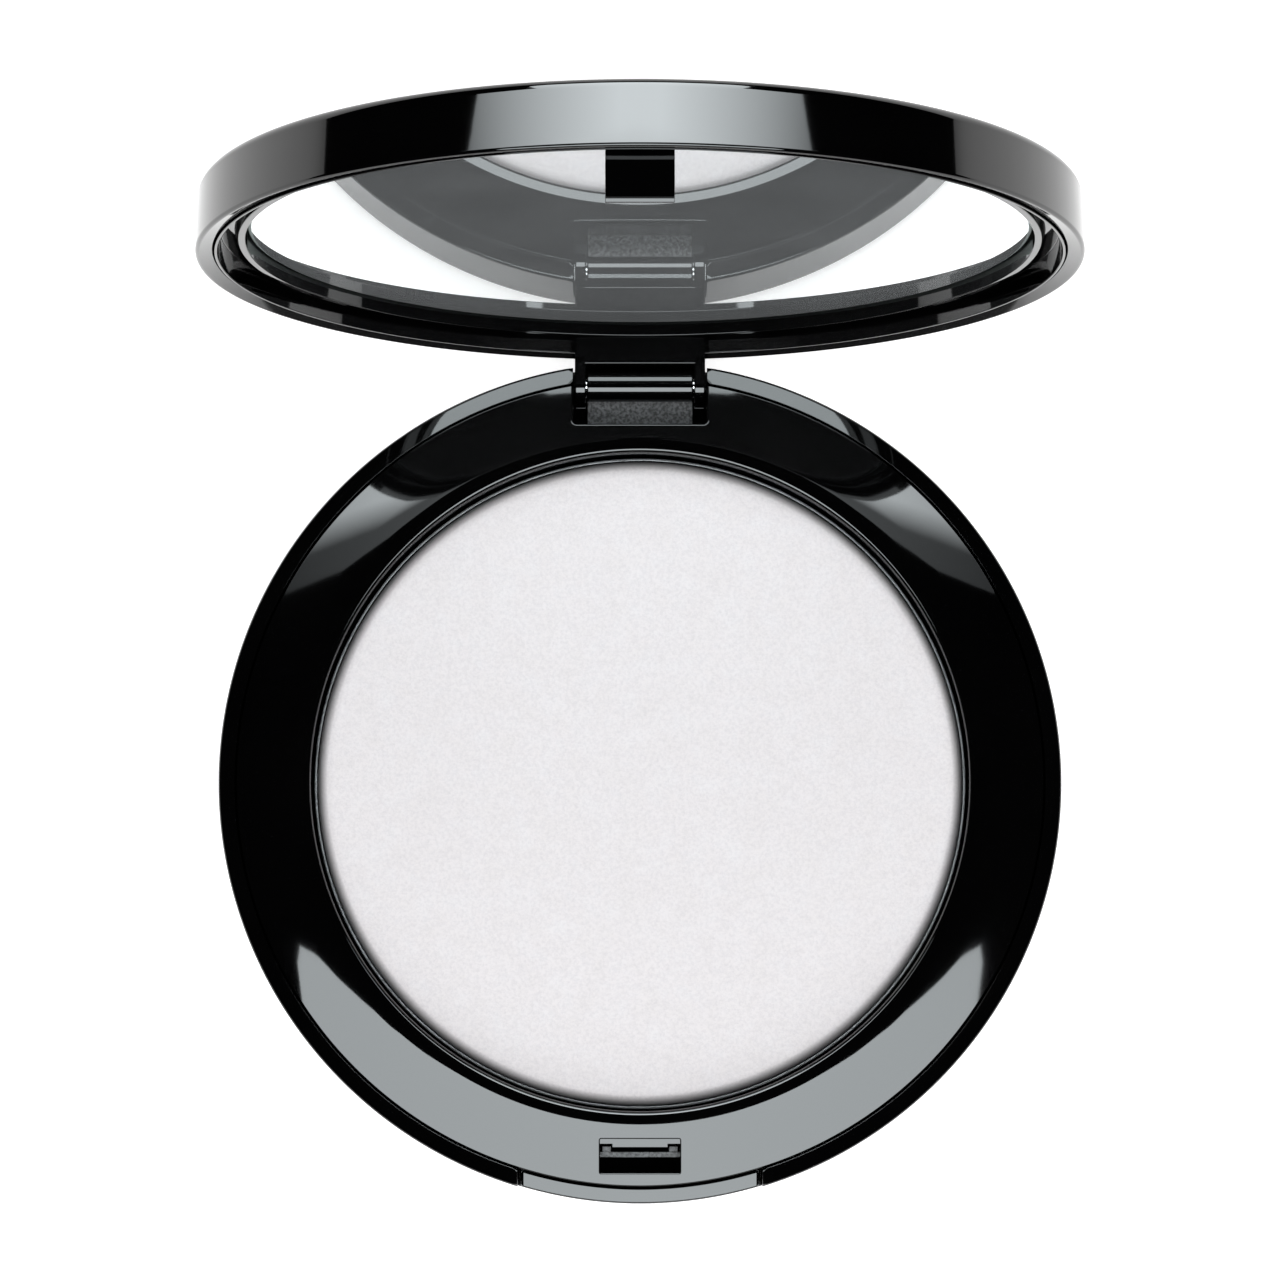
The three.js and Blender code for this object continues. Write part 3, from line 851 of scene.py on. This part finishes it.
def deck_lift(p):
    r = np.maximum(np.linalg.norm(p, axis=1), 1e-9)
    z, slope = deck_height(r)
    way = p / r[:, None]
    points = np.column_stack([p, z])
    normals = np.column_stack([way * slope[:, None], np.ones(len(p))])
    normals /= np.linalg.norm(normals, axis=1)[:, None]
    u = np.column_stack([np.ones(len(p)), np.zeros(len(p)), -slope * way[:, 0]])
    v = np.column_stack([np.zeros(len(p)), np.ones(len(p)), -slope * way[:, 1]])
    return points, normals, u, v


def under_lift(p):
    r = np.linalg.norm(p, axis=1)
    z = np.interp(r, *DECK_UNDER)
    n = len(p)
    down = np.tile([0.0, 0.0, -1.0], (n, 1))
    return np.column_stack([p, z]), down, np.tile([1.0, 0, 0], (n, 1)), np.tile([0, 1.0, 0], (n, 1))


def lowered(z):
    def target(points):
        return np.column_stack([points[:, :2], np.full(len(points), z)])

    return target


def deck():
    outer = Edge(DECK_R, False, DECK_ROUND)
    well = Edge(WELL_R, True, WELL_ROUND)
    slot_middle = (SLOT_Y[0] + SLOT_Y[1]) / 2
    slot = Opening((0, slot_middle), (SLOT_HALF, (SLOT_Y[1] - SLOT_Y[0]) / 2), 0.12, 0.14)
    notch = Opening((0, NOTCH_FRONT_Y + 10), (NOTCH_HALF, 10), 0.35, 0.22)
    grid = np.array(
        [
            (r * math.cos(a), r * math.sin(a))
            for r in np.linspace(WELL_R, DECK_R, 26)
            for a in np.arange(ROUND_STEPS) * 2 * math.pi / ROUND_STEPS
        ]
    )
    region = [circle(DECK_R + 0.6, steps=ROUND_STEPS)]
    top = Sheet(region, grid, [outer, well, slot, notch], deck_lift)
    shape = top.shape()
    shape.join(top.wall(0, lowered(DECK_LIP_Z)))
    shape.join(top.wall(2, lowered(SLOT_FLOOR_Z)))
    shape.join(top.wall(3, lowered(POCKET_FLOOR_Z)))
    beside_well = Edge(WELL_OUTER_R, True, 0.01)
    under = Sheet(region, grid, [outer, beside_well, slot, notch], under_lift)
    return shape.join(under.shape())


def swept(points, ends, shade, caps):
    """A closed profile carried through several columns of points, with a flat cap at each end.

    shade(column, place in the profile, normal) gives a corner's normal.
    """
    count = len(ends)
    last = len(points) // count - 1
    faces, normals = [], []
    for k in range(last):
        for s, (n0, n1) in enumerate(ends):
            t = (s + 1) % count
            corners = [(k, s, n0), (k + 1, s, n0), (k + 1, t, n1), (k, t, n1)]
            faces.append([column * count + place for column, place, _ in corners])
            normals.append([shade(*corner) for corner in corners])
    faces += [list(range(count)), list(range(last * count, (last + 1) * count))[::-1]]
    normals += [[cap] * count for cap in caps]
    return Shape().add(points, faces, normals)


def arc_sweep(line, start_deg, end_deg, steps=120):
    """A closed profile swept part of the way round, with flat ends."""
    angles = np.radians(np.linspace(start_deg, end_deg, steps + 1))
    points = [(r * math.cos(a), r * math.sin(a), z) for a in angles for r, z in line]

    def shade(k, _, n):
        return n[0] * math.cos(angles[k]), n[0] * math.sin(angles[k]), n[1]

    first, last = angles[0], angles[-1]
    caps = [(math.sin(first), -math.cos(first), 0), (-math.sin(last), math.cos(last), 0)]
    return swept(points, profile_normals(closed(line)), shade, caps)


def slot_ledge():
    """The sloping step inside the catch slot, with a tab in its middle."""
    y0, y1, y2 = SLOT_Y[1] + 0.2, -32.55, -32.85
    side, tab = 3.7, 2.5
    outline = [(-side, y0), (-side, y1), (-tab, y1), (-tab, y2)]
    outline += [(-x, y) for x, y in outline[::-1]]
    return prism(outline, SLOT_FLOOR_Z, SLOT_LEDGE_Z, 0.05, lean=lambda _x, y: (y - y0) * 0.22)


def hinge_pocket():
    side = NOTCH_HALF + 0.01
    floor = rectangle((-side, side), (CHEEK_Y[0], HINGE_Y))
    shape = prism(floor, POCKET_BASE_Z, POCKET_FLOOR_Z, 0.05)
    step = rectangle((-KNUCKLE_HALF, KNUCKLE_HALF), (NOTCH_FRONT_Y - 0.9, HINGE_Y - 0.4))
    shape.join(prism(step, POCKET_FLOOR_Z - 0.3, POCKET_STEP_Z - 0.02, 0.08))
    half = KNUCKLE_HALF - 0.05
    patch = rectangle((-half, half), (NOTCH_FRONT_Y - 0.5, HINGE_Y - 1))
    shape.join(prism(patch, POCKET_STEP_Z - 0.2, POCKET_STEP_Z, 0.03), 1)
    knuckle = circle(KNUCKLE_R, (HINGE_Y, HINGE_Z), 96)
    return shape.join(drawn_along_x(knuckle, -KNUCKLE_HALF, KNUCKLE_HALF, 0.15, 4))


def spring_block(side, half, y):
    """A square block in line with a spring, over a stretch of Y."""
    x = on_side(side, SPRING_X - half, SPRING_X + half)
    return prism(rectangle(x, y), SPRING_Z - half, SPRING_Z + half, 0.1)


def base_frame():
    shape = deck()
    rim_z = deck_height(np.array([WELL_R]))[0][0] - WELL_ROUND
    shape.join(lathe(fillet([(WELL_R, rim_z), (WELL_R, WELL_FLOOR_Z, 0.4), (0, WELL_FLOOR_Z)])))
    cup = [(0, WELL_BASE_Z), (WELL_OUTER_R, WELL_BASE_Z), (WELL_OUTER_R, DECK_UNDER[1][0])]
    shape.join(lathe(cup))
    skirt = rectangle(SKIRT, (SKIRT_Z, SKIRT_TOP_Z))
    shape.join(arc_sweep(skirt, -90 + SKIRT_FRONT_GAP_DEG, 90 - SKIRT_BACK_GAP_DEG))
    shape.join(arc_sweep(skirt, 90 + SKIRT_BACK_GAP_DEG, 270 - SKIRT_FRONT_GAP_DEG))
    shape.join(slot_ledge())
    shape.join(hinge_pocket())
    for side in (-1, 1):
        cheek = rectangle(on_side(side, NOTCH_HALF + 0.02, NOTCH_HALF + 0.95), CHEEK_Y)
        shape.join(prism(cheek, SKIRT_Z, CHEEK_TOP_Z, 0.05))
        shape.join(spring_block(side, SEAT_HALF, SEAT_Y))
    finishes = [BLACK, SPARK]
    return shape.make("deck_and_well", "base", ["base_frame"], "gloss_black_plastic", finishes)


# ---- pan and powder ----


def powder_pan():
    inner = PAN_R - PAN_WALL
    corners = [
        (0, PAN_BASE_Z),
        (PAN_R, PAN_BASE_Z, 0.6),
        (PAN_R, PAN_RIM_Z, 0.12),
        (inner, PAN_RIM_Z, 0.12),
        (inner, PAN_BASE_Z + PAN_WALL, 0.3),
        (0, PAN_BASE_Z + PAN_WALL),
    ]
    return lathe(fillet(corners)).make("tin_pan", "base", ["powder_pan"], "pan_metal", [PAN_METAL])


def pressed_powder():
    top = POWDER_TOP_Z - 0.003
    level_r = POWDER_R - POWDER_ROUND - 0.1
    rings = [(r, top) for r in np.linspace(level_r, 0, 30)]
    edge = fillet([(POWDER_R, 3.2), (POWDER_R, top, POWDER_ROUND), (level_r, top)], 12)
    line = [(0, POWDER_BASE_Z), (POWDER_R - 0.3, POWDER_BASE_Z), *edge[:-1], *rings]
    return lathe(line).make("powder_cake", "base", ["pressed_powder"], "pressed_powder", [POWDER])


# ---- button, springs and pin ----


def push_button():
    corners = [
        (BUTTON_BACK_R, BUTTON_BOTTOM_Z),
        (BUTTON_R, BUTTON_BOTTOM_Z, 0.6),
        (BUTTON_R, BUTTON_TOP_Z - 0.27, 0.14),
        (BUTTON_BACK_R, BUTTON_TOP_Z, 0.1),
    ]
    shape = bar_sweep(fillet(corners, 8), BUTTON_HALF, 0.3)
    neck = rectangle((BUTTON_INNER_R, NECK_R), FLANGE_Z)
    shape.join(bar_sweep(neck, BUTTON_HALF - 0.3, 0.05))
    wings = rectangle((BUTTON_INNER_R, FLANGE_R), FLANGE_Z)
    shape.join(bar_sweep(wings, FLANGE_HALF, 0.05))
    bar = [(-33.75, CATCH_Z), (-33.25, CATCH_Z), (-33.25, 6.84), (-33.75, 6.73)]
    shape.join(drawn_along_x(bar, -CATCH_HALF, CATCH_HALF, 0.06), 1)
    tip = [(-33.4, CATCH_Z + 0.05), (-32.75, CATCH_Z + 0.05), (-32.75, 6.85), (-33.4, 6.7)]
    for side in (-1, 1):
        shape.join(drawn_along_x(tip, *on_side(side, *HORN_X), 0.06), 1)
        arm = rectangle(on_side(side, CATCH_HALF - 1, CATCH_HALF), ARM_Y)
        shape.join(prism(arm, CATCH_Z + 0.02, 6.7, 0.08))
        shape.join(spring_block(side, PAD_HALF, PAD_Y))
    finishes = [BLACK, SPARK]
    return shape.make("latch_button", "button", ["push_button"], "gloss_black_plastic", finishes)


def bar_sweep(line, half_width, rounding, steps=72):
    """A closed profile swept round the front, cut square to X at both ends with rounded ends."""
    ends = profile_normals(closed(line))
    count = len(line)
    at_point = [unit(ends[s - 1][1] + ends[s][0]) for s in range(count)]
    end = [
        (half_width - rounding * (1 - math.cos(a)), rounding * (1 - math.sin(a)), a)
        for a in QUARTER_TURN
    ]
    inner = np.linspace(-half_width + rounding, half_width - rounding, steps)[1:-1]
    # Each column is (x, how far the profile shrinks, how far the normal has turned, which end).
    columns = [(-x, sink, a, -1) for x, sink, a in end]
    columns += [(x, 0.0, math.pi / 2, 0) for x in inner]
    columns += [(x, sink, a, 1) for x, sink, a in reversed(end)]
    points, facing = [], []
    for x, sink, _, _ in columns:
        for (r, z), n in zip(line, at_point):
            r, z = r - n[0] * sink, z - n[1] * sink
            y = -math.sqrt(r * r - x * x)
            points.append((x, y, z))
            facing.append((x / r, y / r))

    def shade(column, s, n):
        _, _, a, side = columns[column]
        fx, fy = facing[column * count + s]
        up = math.sin(a)
        return tuple(unit((n[0] * fx * up + side * math.cos(a), n[0] * fy * up, n[1] * up)))

    return swept(points, ends, shade, [(-1, 0, 0), (1, 0, 0)])


def button_spring(side):
    """A coil of round wire along Y with closed, ground ends."""
    wire, coil, turns = 0.15, 0.98, 6
    low, high = -34.2, -31.4
    bm = bmesh.new()
    rings = []
    steps, round_steps = 240, 10
    dead = 1 / turns
    start, end = low + wire, high - wire
    for k in range(steps + 1):
        t = k / steps
        rise = min(max((t - dead * 0.75) / (1 - 1.5 * dead), 0), 1)
        y = start + (end - start) * (0.03 * t + 0.97 * rise)
        a = 2 * math.pi * turns * t
        ring = []
        for j in range(round_steps):
            b = 2 * math.pi * j / round_steps
            out = coil + wire * math.cos(b)
            x, z = side * SPRING_X + out * math.cos(a), SPRING_Z + out * math.sin(a)
            ring.append(bm.verts.new((x, y + wire * math.sin(b), z)))
        rings.append(ring)
    for one, two in zip(rings, rings[1:]):
        for j in range(round_steps):
            i = (j + 1) % round_steps
            bm.faces.new((one[j], one[i], two[i], two[j]))
    bm.faces.new(rings[0][::-1])
    bm.faces.new(rings[-1])
    bmesh.ops.recalc_face_normals(bm, faces=bm.faces[:])
    name = "left" if side < 0 else "right"
    shape = gathered(bm)
    stands_for = [f"button_spring_{name}"]
    made = shape.make(f"coil_spring_{name}", "base", stands_for, "pin_steel", [STEEL])
    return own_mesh(made)


def hinge_pin():
    outline = circle(PIN_R, (HINGE_Y, HINGE_Z), 48)
    shape = drawn_along_x(outline, -PIN_HALF, PIN_HALF, 0.1, 4)
    return shape.make("steel_pin", "base", ["hinge_pin"], "pin_steel", [STEEL])


def bottom_label():
    line = [(0, 0.002), (LABEL_R - 0.02, 0.002), (LABEL_R, 0.03), (LABEL_R, 0.118), (0, 0.118)]
    return lathe(line).make("paper_disc", "base", ["bottom_label"], "label_paper", [PAPER])


# ---- lid, drawn shut and then opened about the pin ----

OPENED = (
    Matrix.Translation((0, HINGE_Y, HINGE_Z))
    @ Matrix.Rotation(math.radians(-OPEN_DEG), 4, "X")
    @ Matrix.Translation((0, -HINGE_Y, -HINGE_Z))
)


def raised(corners):
    """Heights above the lid's rim as heights in the shut compact."""
    return [(r, LID_Z + h, *rest) for r, h, *rest in corners]


def crown(r):
    """The lid's outside face, falling slightly from its middle."""
    return 6.197 - 1.15e-4 * r * r


def lid_shell():
    inner_edge = math.tan(math.radians(LID_RIM_FALL_DEG)) * (RADIUS - SHELL_INNER_R)
    corners = [
        (0, LID_CUP),
        (SHELL_INNER_R, LID_CUP, 0.3),
        (SHELL_INNER_R, inner_edge, 0.08),
        (RADIUS, 0, 0.3),
        (RADIUS - 0.2, 5.9, 0.9),
        (33, crown(33), 2.0),
        (24, crown(24), 8.0),
        (12, crown(12), 8.0),
        (0, crown(0)),
    ]
    shape = lathe(fillet(raised(corners), 10)).turn(OPENED)
    return shape.make("lid_cover", "lid", ["lid_shell"], "gloss_black_plastic", [BLACK])


def latch_hook():
    """The hook under the lid's front edge, as distances forward and heights above the rim."""
    outline = [(34.75, 2.6), (34.75, -1.25), (34.15, -2.6), (34.15, -3.2), (33.95, -3.5)]
    outline += [(33.7, -3.5), (33.4, -2.8), (33.4, -2.45), (33.85, -2.4), (33.85, 2.6)]
    return drawn_along_x([(-r, LID_Z + h) for r, h in outline], -HOOK_HALF, HOOK_HALF, 0.06)


def hinge_neck():
    """Two lugs round the pin, and the plate that joins them to the lid."""
    front, back = HINGE_Y - EYE_R, HINGE_Y + EYE_R
    eye = circle(EYE_R, (HINGE_Y, HINGE_Z), 48, math.pi, math.pi)
    lug = [*eye, (back - 0.15, LUG_TOP_Z), (front, LUG_TOP_Z)]
    shape = Shape()
    for side in (-1, 1):
        shape.join(drawn_along_x(lug, *on_side(side, LUG_INNER, NECK_HALF), 0.14, 4))
    plate = [
        (front, 7.2),
        (back - 0.15, 7.2),
        (back - 0.15, LUG_TOP_Z),
        (FRAME_BACK, 8.1),
        (FRAME_BACK, NECK_TOP_Z),
        (front, NECK_TOP_Z),
    ]
    return shape.join(drawn_along_x(plate, -NECK_HALF, NECK_HALF, 0.14, 4))


def lid_frame():
    corners = [
        (0, 4.05),
        (33.7, 4.05),
        (33.7, 1.45, 0.1),
        (34.35, 1.45, 0.12),
        (34.55, 2.4, 0.12),
        (35.9, 2.4, 0.12),
        (36.1, 0.3, 0.08),
        (36.33, 0.3, 0.06),
        (36.33, 4.75),
        (0, 4.75),
    ]
    shape = lathe(fillet(raised(corners))).join(latch_hook()).join(hinge_neck()).turn(OPENED)
    return shape.make("mirror_frame", "lid", ["lid_frame"], "gloss_black_plastic", [BLACK])


def mirror():
    front, back = MIRROR_HEIGHTS
    level_r = MIRROR_R - 0.35
    bevel = [(level_r, front), (MIRROR_R - 0.05, 2.78), (MIRROR_R, 2.9)]
    face = lathe(raised([(0, front), (level_r, front)]))
    edge = lathe(raised([*bevel, (MIRROR_R, back), (0, back)]))
    shape = face.join(edge, 1).turn(OPENED)
    return shape.make("round_mirror", "lid", ["mirror"], "mirror_glass", [MIRROR, GLASS_EDGE])


# ---- the pieces ----

base_shell()
base_frame()
powder_pan()
pressed_powder()
push_button()
button_spring(-1)
button_spring(1)
hinge_pin()
bottom_label()
lid_shell()
lid_frame()
mirror()

for name, finish in (("pan_adhesive", ADHESIVE), ("mirror_tape", FOAM)):
    frame["nodes"][name].data.materials.clear()
    frame["nodes"][name].data.materials.append(finish)


# ---- studio ----


def staged(name, outline, finish):
    """A flat sheet that isn't part of the object."""
    mesh = bpy.data.meshes.new(name)
    mesh.from_pydata([(x, y, 0) for x, y in outline], [], [tuple(range(len(outline)))])
    mesh.materials.append(finish)
    sheet = bpy.data.objects.new(name, mesh)
    bpy.context.scene.collection.objects.link(sheet)
    return sheet


FLOOR_DROP = 0.00003  # metres, so that the foot doesn't share its plane


def floor():
    """One plain pale floor, the same all over, which the camera, gloss and glass all see."""
    made, tree, shader = material("studio_floor")
    grain = object_noise(tree, 30, 3)
    tree.links.new(
        colours(tree, grain, [(0.3, (0.90, 0.90, 0.90)), (0.7, (0.92, 0.92, 0.92))]),
        shader.inputs["Base Color"],
    )
    shader.inputs["Roughness"].default_value = 0.9
    shader.inputs["Specular IOR Level"].default_value = 0.1
    shader.inputs["Emission Color"].default_value = (1, 1, 1, 1)
    shader.inputs["Emission Strength"].default_value = 0.8
    sheet = staged("studio_floor", rectangle((-4, 4), (-4, 4)), made)
    sheet.location.z = -FLOOR_DROP


def softbox(name, toward_y_deg, distance, aim, outline, across_glow, up_glow):
    """A glowing panel that only gloss shows, its lean measured from straight up to +Y.

    Each glow is (from, to, strength there, strength there): across is measured from the
    middle, and up along the panel.
    """
    made, tree, shader = material(name)
    tree.nodes.remove(shader)
    where = node(tree, "ShaderNodeTexCoord")
    split = node(tree, "ShaderNodeSeparateXYZ")
    across = node(tree, "ShaderNodeMath", operation="ABSOLUTE")
    both = node(tree, "ShaderNodeMath", operation="MULTIPLY")
    glow = node(tree, "ShaderNodeEmission")
    glow.inputs["Color"].default_value = (0.91, 0.975, 1.0, 1)
    tree.links.new(where.outputs["Object"], split.inputs[0])
    tree.links.new(split.outputs["X"], across.inputs[0])
    tree.links.new(spread(tree, across.outputs[0], *across_glow), both.inputs[0])
    tree.links.new(spread(tree, split.outputs["Y"], *up_glow), both.inputs[1])
    tree.links.new(both.outputs[0], glow.inputs["Strength"])
    tree.links.new(glow.outputs[0], tree.nodes["Material Output"].inputs["Surface"])
    panel = staged(name, outline, made)
    lean = math.radians(toward_y_deg)
    panel.location = Vector(aim) + distance * Vector((0, math.sin(lean), math.cos(lean)))
    panel.rotation_euler = (-lean, 0, 0)
    panel.visible_camera = panel.visible_diffuse = panel.visible_shadow = False


def mirrored(half):
    """Half an outline, from its middle to its middle, joined to its mirror image."""
    return half + [(-x, y) for x, y in half[-2:0:-1]]


def front_softbox():
    """In front of and above the compact, its inner edge high in the middle and at the ends."""
    inner = [(0, 0.113), (0.05, 0.11), (0.08, 0.09), (0.11, 0.082), (0.155, 0.092), (0.178, 0.1)]
    inner += [(0.19, 0.102), (0.194, 0.09)]
    outer = [(0.192, 0.0), (0.17, -0.045), (0.14, -0.072), (0.1, -0.077), (0, -0.077)]
    glow = ((0, 0.22, 9.4, 8.6), (0, 1, 1, 1))
    softbox("front_softbox", -25, 0.32, (0, -0.033, 0.009), mirrored(inner + outer), *glow)


def back_softbox():
    """Behind and above the lid, narrow low at the back, dimmer towards its ends and inner edge."""
    half = [(0, -0.173), (0.25, -0.173), (0.275, -0.15), (0.3, -0.13), (0.33, -0.105)]
    half += [(0.3, -0.085), (0.2, -0.06), (0.14, -0.03), (0.13, 0.14), (0.11, 0.173), (0, 0.173)]
    glow = ((0.03, 0.3, 16, 3.2), (-0.145, -0.118, 0.12, 1.0))
    softbox("back_softbox", 47, 0.3, (0, 0.052, 0.078), mirrored(half), *glow)


def fill_light(name, location, size, power):
    """A wide soft lamp for the matt surfaces, which gloss doesn't show."""
    lamp = bpy.data.lights.new(name, "AREA")
    lamp.size = size
    lamp.energy = power
    holder = bpy.data.objects.new(name, lamp)
    holder.location = location
    holder.rotation_euler = Vector(location).to_track_quat("Z", "Y").to_euler()
    holder.visible_glossy = False
    bpy.context.scene.collection.objects.link(holder)


def sky():
    """A dark room. Only the camera meets its pale backdrop."""
    world = bpy.data.worlds.new("studio")
    bpy.context.scene.world = world
    world.use_nodes = True
    tree = world.node_tree
    path = node(tree, "ShaderNodeLightPath")
    background = tree.nodes["Background"]
    strength = spread(tree, path.outputs["Is Camera Ray"], 0, 1, 0.004, 1.0)
    tree.links.new(strength, background.inputs["Strength"])
    background.inputs["Color"].default_value = (0.97, 0.97, 0.97, 1)


def camera():
    data = bpy.data.cameras.new("camera")
    data.lens = 187.79
    data.sensor_width = 36.0
    data.clip_start = 0.05
    data.clip_end = 20
    holder = bpy.data.objects.new("camera", data)
    pitch = math.radians(3.655)
    holder.location = (0, -0.0256, 0.6085)
    holder.rotation_euler = (pitch, 0, 0)
    bpy.context.scene.collection.objects.link(holder)
    bpy.context.scene.camera = holder


floor()
front_softbox()
back_softbox()
fill_light("overhead_fill", (0.12, -0.35, 1.5), 1.4, 25)
fill_light("front_fill", (0, -1.5, 0.8), 1.0, 9)
sky()
camera()
bpy.context.scene.view_settings.view_transform = "Standard"
